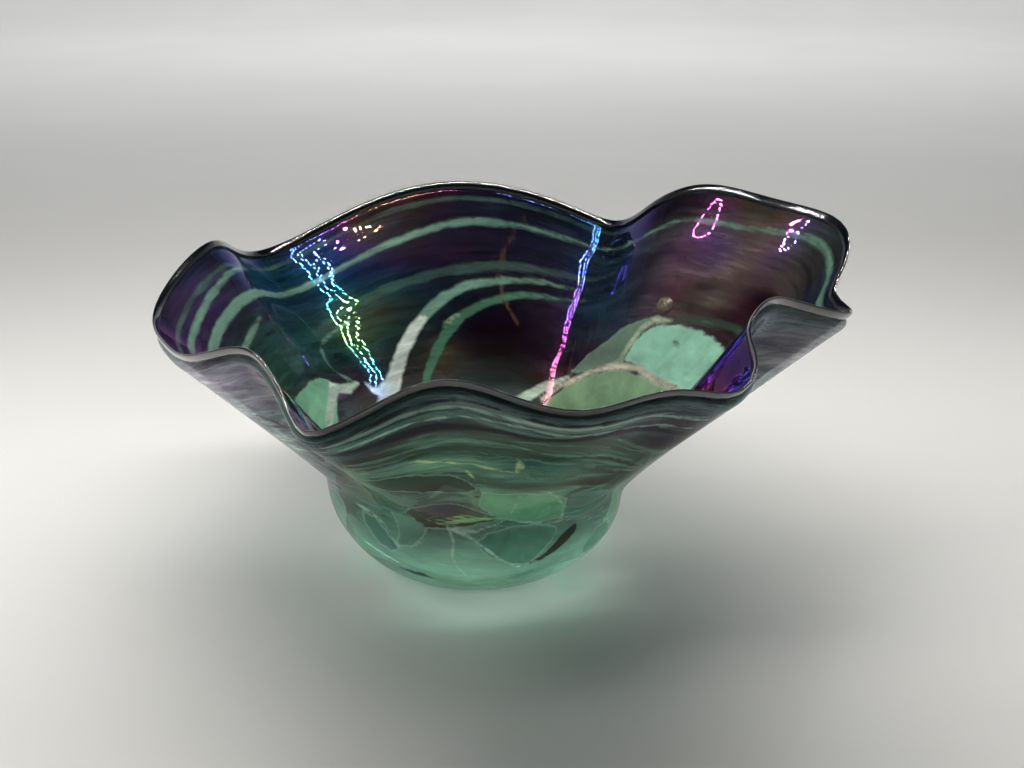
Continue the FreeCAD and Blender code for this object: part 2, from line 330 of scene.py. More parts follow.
# %% [markdown]
# Colour was laid on while the glass was thick and round, and moved with it as the bowl was
# blown and spun open. So every streak and patch is placed in the wall's own terms: azimuth
# round the bowl, and share of the way up, 0 at the foot, 0.37 at the neck and 1 at the lip.
# For each point of the wall this works out both. On the body the share follows the angle of a
# round section, so that it stays even where the body is nearly flat.

# %% Azimuth and share of every point of the wall
NECK_SHARE, LIP_SHARE = 0.37, 0.987
is_inside = ring <= LINES
azimuth = np.degrees(np.arctan2(laid[:, 1], laid[:, 0])) % 360
azimuth[(ring == 0) | (ring == RINGS)] = 0


def body_share(height, neck):
    """The share at a height on the body, where the neck is at its own height."""
    climb = np.clip(height / neck, 0, 1)
    return NECK_SHARE * np.degrees(np.arccos(1 - climb)) / 90


row_of = np.where(is_inside, ring, RINGS - ring).clip(1, LINES)
rows_up = row_of - FLOOR_LINES - BODY_LINES
floor_z = np.where(is_inside, inside[0, FLOOR_LINES, 2], outside[0, FLOOR_LINES, 2])
neck_z = neck_height(np.radians(azimuth))
on_flare = NECK_SHARE + (LIP_SHARE - NECK_SHARE) * rows_up / FLARE_LINES
share = np.where(rows_up > 0, on_flare, body_share(laid[:, 2] - floor_z, neck_z - floor_z))
print("share from", share.min(), "to", share.max())

# %% [markdown]
# Two kinds of shape carry the colour. A patch is a closed outline, such as a chip of mint
# glass; a stroke is a drawn-out thread with its own width. Each gives a distance to its edge,
# positive inside, so that the edge stays sharp and can be frayed later by a little noise.

# %% Distance to a patch and to a stroke
AROUND, ALONG = 1.6, 165        # millimetres of wall to a degree, and to a whole share
BEYOND = 1e9                    # further than any point


def flat(az, sh):
    """Azimuth and share as millimetres on the wall laid flat."""
    return np.stack([np.multiply(az, AROUND), np.multiply(sh, ALONG)], axis=1)


def beside(here, start, end):
    """How far along an edge each point lies, as a share of it, and how far from it."""
    edge = end - start
    along = np.clip(((here - start) @ edge) / (edge @ edge), 0, 1)
    return along, np.linalg.norm(here - start - along[:, None] * edge, axis=1)


def patch_field(az, sh, corners):
    """Distance in millimetres to the edge of an outline, positive inside it."""
    here = flat(az, sh)
    outline = flat(*zip(*corners))
    inside_it = np.zeros(len(here), bool)
    nearest = np.full(len(here), BEYOND)
    for start, end in zip(outline, np.roll(outline, -1, axis=0)):
        nearest = np.minimum(nearest, beside(here, start, end)[1])
        run, rise = end - start
        crosses = (start[1] > here[:, 1]) != (end[1] > here[:, 1])
        crossing = start[0] + (here[:, 1] - start[1]) / (rise or 1 / BEYOND) * run
        inside_it ^= crosses & (here[:, 0] < crossing)
    return np.where(inside_it, nearest, -nearest)


def stroke_field(az, sh, stops):
    """The same for a thread through (azimuth, share, half width in millimetres)."""
    here = flat(az, sh)
    stop_az, stop_sh, halves = zip(*stops)
    line = flat(stop_az, stop_sh)
    best = np.full(len(here), -BEYOND)
    for i in range(len(line) - 1):
        along, away = beside(here, line[i], line[i + 1])
        best = np.maximum(best, halves[i] + (halves[i + 1] - halves[i]) * along - away)
    return best


print("one degree is", AROUND, "mm, the whole way up", ALONG, "mm")

# %% [markdown]
# Colours come as they look, with a fourth number for how milky the glass is. Under all shapes
# lies the soft colour of the glass: a base, and wide washes that fade into it. Where shapes
# meet, a point takes the colour of the one it is deepest in.

# %% Colour from shapes
FADE = 1.2                      # how fast a wash fades
REACH = 8.0                     # distances are cut off here, in millimetres
UNDER = (0.1, 0.2, 0.15, 0.5)   # out of reach of every shape


def linear(colour):
    """A colour as it looks, turned into amounts of light."""
    return np.array(colour, float) ** 2.2


def tinted(tint):
    """The same for a colour with a fourth number, which stays as it is."""
    return np.append(linear(tint[:3]), tint[3])


def wash(az, sh, base, washes):
    """Soft colour: a base, and wide spots that fade into it."""
    colour = np.tile(tinted(base), (len(az), 1))
    for a, s, wide, tall, tint in washes:
        away = ((az - a) / wide) ** 2 + ((sh - s) / tall) ** 2
        colour += (tinted(tint) - colour) * np.exp(-away * FADE)[:, None]
    return colour


def overlay(az, sh, shapes):
    """The nearest shape's colour and the distance to its edge, over a list of shapes."""
    colour = np.tile(UNDER, (len(az), 1))
    field = np.full(len(az), -REACH)
    for tint, outline in shapes:
        measure = stroke_field if len(outline[0]) == 3 else patch_field
        own = measure(az, sh, outline)
        nearer = own > field
        field = np.where(nearer, own, field)
        colour[nearer] = tinted(tint)
    return colour, np.clip(field, -REACH, REACH)


print("a middle grey holds", round(float(linear(0.5)), 2), "of the light")

# %% [markdown]
# Inside, the cup is nearly black amethyst with washes of blue, teal and plum. Threads of sage
# green were drawn round the flare with the rim, and chips of mint show lower down, each
# outlined by the paler glass that flowed between them. A wash is (azimuth, share, its reach
# each way, colour), a patch is a colour with its corners, and a stroke a colour with its stops.

# %% The colours of the inside
INSIDE_BASE = (.07, .075, .1, .5)
INSIDE_WASHES = [
    (123, .88, 11, .13, (.07, .15, .3, .6)), (140, .9, 9, .1, (.06, .22, .3, .6)),
    (172, .9, 14, .1, (.17, .1, .22, .6)), (156, .66, 26, .11, (.1, .23, .2, .6)),
    # the pale grey-brown wash at azimuth 24 is painted sheen: the lustre's gleam laid into the colour
    (50, .76, 14, .15, (.06, .16, .2, .6)), (24, .83, 16, .14, (.4, .33, .3, .6)),
    (30, .86, 7, .06, (.28, .19, .4, .6)), (12, .77, 7, .12, (.17, .06, .07, .6)),
    (82, .6, 22, .14, (.01, .01, .015, .8)), (104, .53, 8, .05, (.21, .17, .1, .7)),
    (90, .975, 60, .03, (.06, .05, .06, .6)), (98, .82, 26, .06, (.05, .05, .08, .6)),
    (127, .47, 24, .09, (.17, .02, .04, .75)), (60, .5, 8, .05, (.22, .05, .07, .6)),
    (230, .75, 40, .3, (.1, .12, .13, .5)), (300, .75, 40, .3, (.09, .12, .13, .5)),
    (180, .16, 400, .17, (.8, .92, .87, .14)),
]
SAGE, DIM_SAGE, RIVER = (.5, .67, .58, .65), (.29, .4, .36, .55), (.96, 1.0, .96, .95)
INSIDE_PATCHES = [
    ((.64, .87, .76, .92), [(4, .68), (14, .69), (26, .685), (33, .66), (36, .62), (36, .575),
     (24, .565), (10, .572), (-4, .585), (-4, .66)]),
    ((.54, .68, .52, .88), [(10, .562), (24, .56), (36, .552), (46, .535), (56, .5), (62, .45),
     (64, .39), (40, .36), (16, .4), (4, .5)]),
    ((.42, .52, .44, .75), [(34, .68), (40, .66), (49, .6), (57, .54), (50, .535), (39, .565),
     (38, .61)]),
    ((.5, .74, .6, .9), [(147, .53), (152, .56), (162, .56), (171, .55), (177, .48), (177, .41),
     (168, .38), (158, .44)]),
    ((.38, .56, .46, .85), [(194, .6), (206, .62), (216, .58), (212, .5), (200, .48)]),
    ((.34, .52, .42, .85), [(228, .52), (244, .55), (256, .5), (248, .42), (232, .43)]),
    ((.4, .58, .48, .85), [(272, .57), (288, .6), (300, .55), (294, .47), (278, .46)]),
    ((.36, .54, .44, .85), [(312, .54), (326, .58), (338, .54), (332, .45), (316, .44)]),
]
INSIDE_STROKES = [
    (SAGE, [(-8, .962, 1.2), (13, .945, .9), (26, .925, .6), (39, .917, .5), (50, .9, .6), (62, .917, .6),
     (78, .905, 1.1), (93, .895, 1.7), (108, .87, 1.4), (123, .856, 1.2), (139, .845, 1.5),
     (154, .835, 2.2), (168, .83, 2.5), (182, .81, 2.2), (205, .8, 1.0)]),
    (DIM_SAGE, [(56, .967, .5), (85, .962, .7), (110, .955, .8), (125, .95, .7), (150, .935, .7),
     (170, .93, .8), (190, .92, .8)]),
    ((.23, .32, .29, .5), [(55, .83, .6), (67, .81, 1.3), (93, .767, 2.2), (108, .75, 2.0),
     (123, .74, 1.6), (137, .7, 1.0)]),
    (SAGE, [(66, .775, .3), (73, .767, .8), (80, .75, 1.2), (93, .72, 1.9), (100, .69, 2.2),
     (106, .65, 2.4)]),
    (RIVER, [(104, .66, 1.4), (110, .62, 2.6), (115, .57, 3.0), (119, .52, 3.3), (123, .48, 3.8),
     (128, .468, 2.8), (131, .48, 1.4), (132, .51, .5)]),
    (RIVER, [(119, .53, 2.6), (124, .47, 3.0), (132, .42, 3.2), (140, .38, 3.0)]),
    ((.3, .49, .38, .7), [(62, .75, .4), (78, .715, 1.2), (87, .68, 1.6), (95, .64, 1.9),
     (101, .59, 2.2), (106, .53, 2.4), (109, .49, 2.2), (112, .45, 1.6)]),
    # the white-green glint next is a painted highlight
    ((.66, .74, .62, .8), [(93, .652, .4), (97, .637, .8), (101, .62, .4)]),
    ((.4, .52, .48, .75), [(126, .7, .8), (132, .685, 1.0), (138, .655, 1.0), (141, .61, .9),
     (141, .57, .8), (137, .53, 1.2)]),
    ((.86, .95, .86, .92), [(135, .515, 1.2), (141, .507, 2.6), (148, .517, 2.8), (156, .48, 2.4),
     (164, .45, 2.4), (172, .41, 2.2)]),
    ((.92, .88, .78, .92), [(-2, .575, .6), (8, .567, .9), (20, .564, 1.5), (30, .57, 1.4),
     (38, .56, 1.6), (50, .53, 1.3), (58, .5, 1.1), (64, .45, .9)]),
    ((.74, .8, .68, .85), [(28, .69, .7), (33, .68, 1.2), (36, .65, 1.4), (37, .61, 1.2),
     (37.5, .57, 1.3)]),
    ((.88, .95, .88, .92), [(56, .53, .4), (60, .51, 1.2), (65, .485, 2.0), (70, .45, 2.8),
     (75, .42, 3.2)]),
    ((.42, .26, .14, .7), [(80, .93, .2), (82, .88, .35), (84, .82, .35), (85, .76, .35),
     (83, .69, .35), (78, .63, .2)]),
    ((.28, .38, .3, .7), [(5, .735, 1.4), (18, .715, 1.1), (30, .69, .5)]),
    (SAGE, [(146, .925, .5), (160, .905, 1.3), (175, .885, 1.6), (190, .87, 1.6)]),
    (SAGE, [(158, .77, .5), (166, .75, 1.6), (176, .73, 1.8), (188, .74, 1.0)]),
    ((.1, .12, .12, .9), [(20.5, .647, .5), (22, .648, 1.0), (23.5, .65, .5)]),
    (SAGE, [(212, .9, .5), (232, .88, 1.6), (252, .9, 1.8), (274, .87, 1.4), (300, .89, .6)]),
    (DIM_SAGE, [(205, .76, .5), (230, .73, 1.8), (262, .7, 2.2), (296, .72, 2.0), (330, .76, .6)]),
    ((.62, .74, .64, .9), [(216, .5, .8), (222, .54, 1.8), (226, .5, 1.6), (228, .45, 1.0)]),
    ((.62, .74, .64, .9), [(258, .5, .8), (264, .55, 2.0), (270, .52, 1.6), (272, .46, 1.0)]),
    ((.62, .74, .64, .9), [(302, .52, .8), (307, .55, 1.8), (311, .5, 1.2), (313, .45, .8)]),
]
print(len(INSIDE_PATCHES), "patches and", len(INSIDE_STROKES), "strokes inside")

# %% [markdown]
# Outside, the thin casing of pale green shows the same swirls with light behind them. The flare
# is smoky and streaked, and the round body is covered with mint chips, some large. The chips
# in front have their own outlines here.

# %% The soft colours and chips of the outside
OUTSIDE_BASE = (.24, .38, .33, .55)
OUTSIDE_WASHES = [
    (200, .85, 34, .16, (.42, .45, .45, .6)), (222, .9, 14, .1, (.5, .49, .52, .7)),
    (220, .68, 15, .12, (.42, .53, .47, .65)), (222, .5, 15, .07, (.28, .31, .3, .6)),
    (344, .88, 16, .14, (.38, .35, .34, .7)), (328, .6, 20, .12, (.24, .38, .36, .6)),
    (262, .86, 13, .035, (.19, .13, .1, .75)), (300, .9, 11, .05, (.22, .17, .15, .7)),
    (303, .8, 9, .05, (.25, .23, .21, .7)), (280, .76, 24, .06, (.18, .38, .34, .65)),
    (268, .69, 14, .04, (.32, .52, .38, .6)), (294, .71, 10, .05, (.18, .42, .38, .6)),
    (286, .632, 17, .025, (.26, .24, .2, .75)), (272, .52, 16, .07, (.28, .45, .34, .6)),
    (303, .53, 8, .09, (.15, .38, .38, .6)), (236, .42, 16, .06, (.19, .33, .28, .6)),
    (262, .45, 9, .05, (.26, .2, .13, .6)), (268, .28, 40, .1, (.42, .68, .58, .5)),
    (326, .28, 22, .12, (.46, .66, .58, .35)), (214, .19, 20, .06, (.25, .14, .13, .6)),
    (60, .8, 40, .12, (.3, .3, .3, .6)), (120, .7, 36, .14, (.2, .36, .34, .6)),
    (90, .28, 90, .14, (.4, .64, .55, .5)), (278, .945, 46, .02, (.32, .42, .36, .7)),
    (278, .985, 60, .012, (.05, .06, .08, .9)),
]
OUTSIDE_PATCHES = [
    ((.12, .17, .155, .8), [(250, .73), (256, .7), (262, .655), (268, .625), (271, .605), (272, .58),
     (270, .558), (265, .555), (259, .58), (253, .64)]),
    ((.29, .53, .39, .8), [(274, .575), (282, .6), (289, .585), (295, .53), (301, .42), (292, .408),
     (284, .43), (277, .45), (272, .5)]),
    ((.21, .47, .39, .8), [(271, .345), (276, .375), (284, .398), (295, .398), (302, .375), (300, .34),
     (295, .3), (291, .277), (284, .285), (277, .31)]),
    ((.22, .17, .13, .8), [(250, .46), (254, .5), (260, .505), (268, .487), (275, .465), (279, .447),
     (277, .42), (270, .4), (262, .385), (254, .37), (251, .39)]),
    ((.18, .37, .31, .8), [(227, .365), (233, .365), (238, .34), (241.5, .3), (238, .285), (232, .3),
     (227, .335)]),
    ((.27, .46, .39, .8), [(242, .405), (250, .415), (254, .395), (254, .355), (248, .315),
     (241.5, .31), (243, .35)]),
]
print(len(OUTSIDE_WASHES), "washes and", len(OUTSIDE_PATCHES), "chips in front")

# %% [markdown]
# The other chips are slightly skewed ovals, each where the frame has its solid.

# %% The other chips
CHIP_NUMBERS = (1, 4, 5, 6, 7, 8, 9, 12, 13, 14, 15, 16, 17)
CHIP_TINT = (0.27, 0.52, 0.41, 0.8)
CHIP_CORNERS = np.linspace(0, math.tau, 14, endpoint=False)
CHIP_WIDE, SKEW_WIDE = 10.5, 1.5        # degrees
CHIP_TALL, SKEW_TALL = 0.052, 0.012     # shares of the way up
mean_neck = (band_bottom + casing_top) / 2
for number in CHIP_NUMBERS:
    low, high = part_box("mint_chip_%02d" % number)
    middle = (low + high) / 2
    chip_azimuth = math.degrees(math.atan2(middle.y, middle.x)) % 360
    chip_share = body_share(middle.z, mean_neck)
    skew = 1 if number % 2 else -1
    OUTSIDE_PATCHES.append((CHIP_TINT, [
        (chip_azimuth + CHIP_WIDE * math.cos(t) + SKEW_WIDE * skew * math.sin(2 * t),
         chip_share + CHIP_TALL * math.sin(t) + SKEW_TALL * skew * math.cos(t))
        for t in CHIP_CORNERS]))
print(len(OUTSIDE_PATCHES), "chips in all")

# %% [markdown]
# Strokes draw the fine pale seams between the chips, the slivers of dark amethyst, painted
# yellow-green highlights at the neck and on the flare, and the long light and dark streaks of the flare.

# %% The threads and seams of the outside
SEAM, MINT_SEAM = (0.56, 0.70, 0.62, 0.85), (0.50, 0.66, 0.56, 0.8)
OUTSIDE_STROKES = [
    ((.19, .16, .145, .97), [(292, .277, .3), (297, .292, 1.4), (302, .318, 2.4), (306, .342, 3.0),
     (309.5, .362, 2.6)]),
    ((.11, .12, .1, .95), [(236, .218, .5), (243, .214, 1.5), (249, .212, 1.7), (253, .205, .5)]),
    # the two yellow-green strokes next are painted highlights at the neck
    ((.5, .7, .4, .8), [(258, .395, .2), (264, .407, .8), (270, .422, 1.5), (275, .436, 1.3),
     (279, .445, .3)]),
    ((.52, .66, .4, .8), [(256, .405, .2), (263, .425, .5), (269, .442, .8), (275, .452, .3)]),
    ((.5, .36, .22, .8), [(253, .4, .2), (258, .43, .6), (264, .452, .5), (271, .462, .2)]),
    ((.34, .2, .16, .85), [(251, .42, .3), (254, .45, 1.0), (259, .465, .8), (265, .468, .3)]),
    ((.2, .18, .34, .8), [(255, .49, .3), (260, .488, 1.3), (266, .478, 1.0), (272, .466, .3)]),
    ((.13, .11, .1, .9), [(248, .92, .3), (254, .89, 1.6), (262, .862, 2.4), (269, .85, 1.8),
     (276, .875, 1.0), (284, .9, 1.4), (292, .885, 2.2), (302, .855, 1.2), (312, .84, .3)]),
    ((.15, .13, .12, .9), [(250, .8, .3), (257, .765, .9), (264, .752, .7), (271, .775, .6),
     (279, .81, .6), (287, .8, .9), (294, .745, 1.2), (302, .7, 1.0), (310, .685, .3)]),
    ((.2, .18, .15, .85), [(270, .592, .3), (276, .612, 1.5), (282, .642, 2.4), (289, .636, 2.4),
     (296, .612, 1.8), (306, .602, .6)]),
    ((.12, .13, .13, .85), [(248, .972, .4), (258, .962, 1.2), (267, .95, .9), (276, .965, .7),
     (288, .958, 1.0), (300, .94, 1.2), (312, .93, .4)]),
    (SEAM, [(262, .385, .5), (264, .345, .5), (263, .305, .45), (265, .265, .4), (268, .235, .3)]),
    (SEAM, [(262, .385, .5), (270, .362, .5), (277, .322, .5), (283, .288, .5), (289, .266, .3)]),
    (SEAM, [(282, .585, .3), (282, .5, .4), (281, .44, .6), (287, .42, .5), (294, .405, .5),
     (303, .395, .4)]),
    (SEAM, [(288, .6, .3), (294, .52, .3), (301, .415, .4)]),
    (SEAM, [(281, .44, .5), (278, .405, .5), (272, .38, .4), (265, .385, .4)]),
    (MINT_SEAM, [(224, .38, .3), (232, .375, .5), (238, .35, .5), (242, .305, .6), (247, .31, .5),
     (254, .345, .5), (256, .36, .3)]),
    (MINT_SEAM, [(222, .28, .3), (232, .262, .5), (242, .235, .5), (246, .225, .3)]),
    ((.5, .5, .42, .8), [(300, .408, .5), (308, .392, .6), (318, .386, .7), (332, .39, .3)]),
    # the three yellow-green strokes next are painted highlights, glints on the flare
    ((.7, .76, .42, .8), [(260, .74, .3), (264, .705, .7), (269, .69, .8), (276, .7, .8),
     (281, .712, .3)]),
    ((.7, .76, .42, .8), [(279, .775, .3), (279.5, .74, .8), (279, .715, .3)]),
    ((.7, .76, .42, .8), [(270, .665, .3), (271, .64, .8), (272, .618, .3)]),
    ((.52, .66, .57, .85), [(250, .955, .4), (258, .94, 1.1), (266, .925, 1.2), (274, .935, 1.0),
     (281, .955, .9), (290, .94, 1.0), (300, .92, .8), (310, .91, .3)]),
    ((.5, .64, .56, .8), [(250, .925, .3), (258, .905, .8), (266, .885, .7), (272, .9, .6),
     (279, .925, .6), (286, .915, .6), (294, .89, .6), (306, .875, .3)]),
    ((.35, .56, .47, .7), [(250, .84, .3), (257, .8, .9), (264, .78, 1.0), (271, .8, .8),
     (278, .835, .8), (285, .82, .9), (291, .775, 1.0), (298, .73, 1.0), (304, .71, .4)]),
    ((.33, .52, .44, .7), [(252, .77, .3), (258, .745, .8), (265, .735, .6), (273, .76, .6),
     (280, .79, .6), (287, .765, .8), (294, .7, .8), (302, .66, .4)]),
    ((.08, .09, .1, .9), [(214, .765, .3), (219, .76, .7), (223, .74, .7), (225, .71, .4)]),
    ((.1, .11, .12, .9), [(222, .56, .3), (226, .52, .9), (231, .505, .9), (238, .51, .4)]),
    ((.34, .5, .45, .7), [(20, .88, .4), (50, .86, 1.6), (80, .9, 1.8), (120, .87, 1.8),
     (160, .9, 1.4), (190, .87, .5)]),
    ((.36, .54, .47, .7), [(10, .7, .4), (45, .66, 1.8), (90, .64, 2.2), (135, .68, 1.8),
     (175, .66, .5)]),
]
print(len(OUTSIDE_STROKES), "strokes outside")

# %% [markdown]
# The surface was sprayed with metal salts while hot, which leaves a film thinner than a wave of
# light. What it mirrors takes on colours that drift across the bowl, from cyan through violet
# and rose to gold. The film's place in that series, from 0 to 1, is set at a few spots, as
# (azimuth, share, place), and blended between them.

# %% Where the lustre changes colour
FILM = [
    (62, .97, .02), (62, .84, .12), (64, .74, .3), (68, .63, .47), (80, .52, .56), (128, .95, .04),
    (128, .86, -.02), (126, .74, -.16), (122, .68, -.2), (116, .6, -.06), (113, .95, .62),
    (108, .9, .56), (30, .92, .36), (24, .98, .66), (33, .82, .5), (8, .96, .02), (158, .57, .34),
    (175, .57, .76), (150, .92, .1), (265, .48, .34), (272, .43, .8), (280, .72, .74), (262, .72, .78),
    (262, .98, .06), (300, .95, .2), (220, .8, .2), (340, .85, .16), (200, .5, .2), (20, .4, .3),
    (95, .3, .7), (170, .25, .45), (240, .25, .95), (320, .3, .88),
]


def film_of(az, sh):
    """The film's place in the series of colours: the spots' mean, the near ones counting most."""
    total, weight = 0, 1 / BEYOND
    for a, s, value in FILM:
        turn_apart = (az - a + 180) % 360 - 180
        near = 1 / ((turn_apart * AROUND) ** 2 + ((sh - s) * ALONG) ** 2 + 30) ** 1.5
        total += near * value
        weight += near
    return total / weight


film = film_of(azimuth, share)
print("film from", round(film.min(), 2), "to", round(film.max(), 2))

# %% [markdown]
# The colours and distances go onto the wall's points as named attributes, which a material can
# read. They are smooth numbers, so the mesh needs no point for each edge. Some shapes run past
# the end of the scale of azimuths, so each is also looked for a turn earlier.

# %% Write the colours onto the wall
KINDS = {1: ("FLOAT", "value"), 3: ("FLOAT_VECTOR", "vector"), 4: ("FLOAT_COLOR", "color")}
FIELDS = ("tone", "patch_tone", "patch_edge", "stroke_tone", "stroke_edge")
SIDES = [
    (is_inside, INSIDE_BASE, INSIDE_WASHES, INSIDE_PATCHES, INSIDE_STROKES),
    (~is_inside, OUTSIDE_BASE, OUTSIDE_WASHES, OUTSIDE_PATCHES, OUTSIDE_STROKES),
]


def write(name, values):
    """Store one value, a vector or a colour for each point of the wall."""
    kind, key = KINDS[values.size // len(values)]
    made = wall.data.attributes.new(name, kind, "POINT")
    made.data.foreach_set(key, np.ascontiguousarray(values, np.float32).ravel())


def side_fields(az, sh, base, washes, patches, strokes):
    """The soft colour, and colour and distance of both kinds of shape, for one face."""
    found = [wash(az, sh, base, washes)]
    for shapes in (patches, strokes):
        colour, field = overlay(az, sh, shapes)
        past_colour, past_field = overlay(az - 360, sh, shapes)
        first = (field >= past_field)[:, None]
        found += [np.where(first, colour, past_colour), np.maximum(field, past_field)]
    return found


both_sides = [side_fields(azimuth[chosen], share[chosen], *tables) for chosen, *tables in SIDES]
for name, inner, outer in zip(FIELDS, *both_sides):
    values = np.zeros((len(azimuth), *inner.shape[1:]))
    values[is_inside] = inner
    values[~is_inside] = outer
    write(name, values)
write("film", film)
print("fields", [a.name for a in wall.data.attributes])

# %% [markdown]
# Fine streaks follow the glass as it was drawn out round the bowl, so their noise is squeezed
# along the way up. They also bend with the ruffles: outside they rise and fall along the
# front, inside they run in wide arcs. Both bends are given as (azimuth, share lifted).

# %% The grain of the drawn-out glass
SWAY = [(200, 0), (240, .05), (252, .05), (262, -.01), (268, -.02), (274, 0), (281, .06),
        (286, .04), (292, -.03), (298, -.08), (305, -.10), (320, -.07), (345, 0)]
SWAY_MIDDLE, SWAY_SPREAD = .78, .16     # shares: the sway is strongest half-way up the flare
ARCS = [(0, 0), (40, -.02), (70, 0), (110, -.04), (150, -.07), (185, -.05), (230, 0), (300, .01)]
GRAIN_ROUND, GRAIN_UP = 1.6, 16.5
sway = np.interp(azimuth, *zip(*SWAY)) * np.exp(-((share - SWAY_MIDDLE) / SWAY_SPREAD) ** 2)
arc = np.interp(azimuth, *zip(*ARCS), period=360)
flow = share - np.where(is_inside, arc, sway)
turned = np.radians(azimuth)
write("grain", np.stack([GRAIN_ROUND * np.cos(turned), GRAIN_ROUND * np.sin(turned),
                         GRAIN_UP * flow], axis=1))
print("grain from", round((GRAIN_UP * flow).min(), 2), "to", round((GRAIN_UP * flow).max(), 2))

# %% [markdown]
# Materials are built from nodes. Each of these helpers adds one and gives back its output.

# %% Node helpers
def node(tree, kind, inputs=(), **settings):
    """A new node with its settings, and its inputs linked or set."""
    made = tree.nodes.new("ShaderNode" + kind)
    for key, value in settings.items():
        setattr(made, key, value)
    for key, value in dict(inputs).items():
        if isinstance(value, bpy.types.NodeSocket):
            tree.links.new(value, made.inputs[key])
        else:
            made.inputs[key].default_value = value
    return made


def maths(tree, operation, *values):
    return node(tree, "Math", dict(enumerate(values)), operation=operation).outputs[0]


def scaled(tree, colour, by):
    return node(tree, "VectorMath", {0: colour, "Scale": by}, operation="SCALE").outputs[0]


def colour_mix(tree, factor, a, b):
    return node(tree, "Mix", {0: factor, 6: a, 7: b}, data_type="RGBA").outputs[2]


def number_mix(tree, factor, a, b):
    return node(tree, "Mix", {0: factor, 2: a, 3: b}).outputs[0]


def noise(tree, vector, scale, detail=3, rough=0.5, distortion=0.0):
    return node(tree, "TexNoise", {"Vector": vector, "Scale": scale, "Detail": detail,
                                   "Roughness": rough, "Distortion": distortion}).outputs["Fac"]


def ranged(tree, value, low, high, to_low=0.0, to_high=1.0, kind="LINEAR"):
    return node(tree, "MapRange", {0: value, 1: low, 2: high, 3: to_low, 4: to_high},
                interpolation_type=kind).outputs[0]


def bump(tree, height, strength, distance, **more):
    return node(tree, "Bump", {"Height": height, "Strength": strength, "Distance": distance,
                               **more}).outputs[0]


def ramp(tree, value, stops):
    made = node(tree, "ValToRGB", {0: value})
    elements = made.color_ramp.elements
    while len(elements) < len(stops):
        elements.new(0.5)
    for element, (at, colour) in zip(elements, stops):
        element.position = at
        element.color = (*colour, 1)
    return made.outputs[0]


# %% [markdown]
# A few more helpers are for whole shaders. A clear sheet of glass is a transparent shader whose
# colour is weakened, because the sheet is thin.

# %% Shader helpers
def shader(tree, kind, inputs):
    return node(tree, kind, inputs).outputs[0]


def shader_mix(tree, factor, a, b):
    return shader(tree, "MixShader", {0: factor, 1: a, 2: b})


def clear_sheet(tree, colour, strength):
    return shader(tree, "BsdfTransparent", {"Color": shader(tree, "Gamma", {0: colour, 1: strength})})


def new_material(name):
    made = bpy.data.materials.new(name)
    made.use_nodes = True
    made.node_tree.nodes.clear()
    return made, made.node_tree


def object_place(tree):
    return node(tree, "TexCoord").outputs["Object"]


def finish_material(tree, surface):
    tree.links.new(surface, node(tree, "OutputMaterial").inputs["Surface"])


# %% [markdown]
# The lustre is a mirror whose colour runs through a series, the way a soap film's does: the
# film's own place in the series, a slow drift, and the angle it is seen at. Glass mirrors far
# more at a glancing angle, so the share of light that is mirrored grows there.

# %% The lustre
FILM_COLOURS = [
    (0, (.06, .8, 1)), (.14, (.05, .22, 1)), (.32, (.38, .1, 1)), (.48, (1, .12, .72)),
    (.62, (1, .42, .16)), (.76, (1, .85, .1)), (.88, (.3, 1, .3)), (1, (.06, .8, 1)),
]
WHITE, PALE_GREY = (1, 1, 1, 1), (0.5, 0.5, 0.5, 1)


def facing(tree):
    """0 where the surface is seen straight on, 1 where it is seen edge on."""
    return node(tree, "LayerWeight", {"Blend": 0.5}).outputs["Facing"]


def film_colour(tree, film_at, place):
    """The lustre's colour."""
    drift = ranged(tree, noise(tree, place, 22, 2), 0.3, 0.7, -0.12, 0.12)
    angle = maths(tree, "MULTIPLY", facing(tree), 0.16)
    series = maths(tree, "ADD", maths(tree, "ADD", film_at, drift), angle)
    return ramp(tree, maths(tree, "FRACT", series), FILM_COLOURS)


def mirrored(tree, straight_on):
    """The share of light that the surface mirrors."""
    glancing = maths(tree, "MULTIPLY", maths(tree, "POWER", facing(tree), 4.0), 0.5)
    return maths(tree, "ADD", straight_on, glancing)


def metal(tree, colour, rough, normal):
    return shader(tree, "BsdfPrincipled", {"Base Color": colour, "Metallic": 1.0,
                                           "Roughness": rough, "Normal": normal})


# %% [markdown]
# The colour of the wall comes in layers: streaks in the soft base, chips over it with a paler
# seam round each, and threads over both. The chips' and threads' edges are frayed by less than a
# millimetre of noise. The streaks fade out low on the body, where the glass wasn't drawn out.

# %% The colour in the glass
SEAM_LIGHT = (0.30, 0.45, 0.36, 1)
CALM_LOW, CALM_HIGH = 30 * MM, 55 * MM  # heights between which the streaks gain their strength


def stored(tree, name):
    return node(tree, "Attribute", attribute_name=name).outputs


def spread(tree, value, to_low, to_high):
    """The middle part of a noise, spread out between two numbers."""
    return ranged(tree, value, 0.3, 0.7, to_low, to_high)


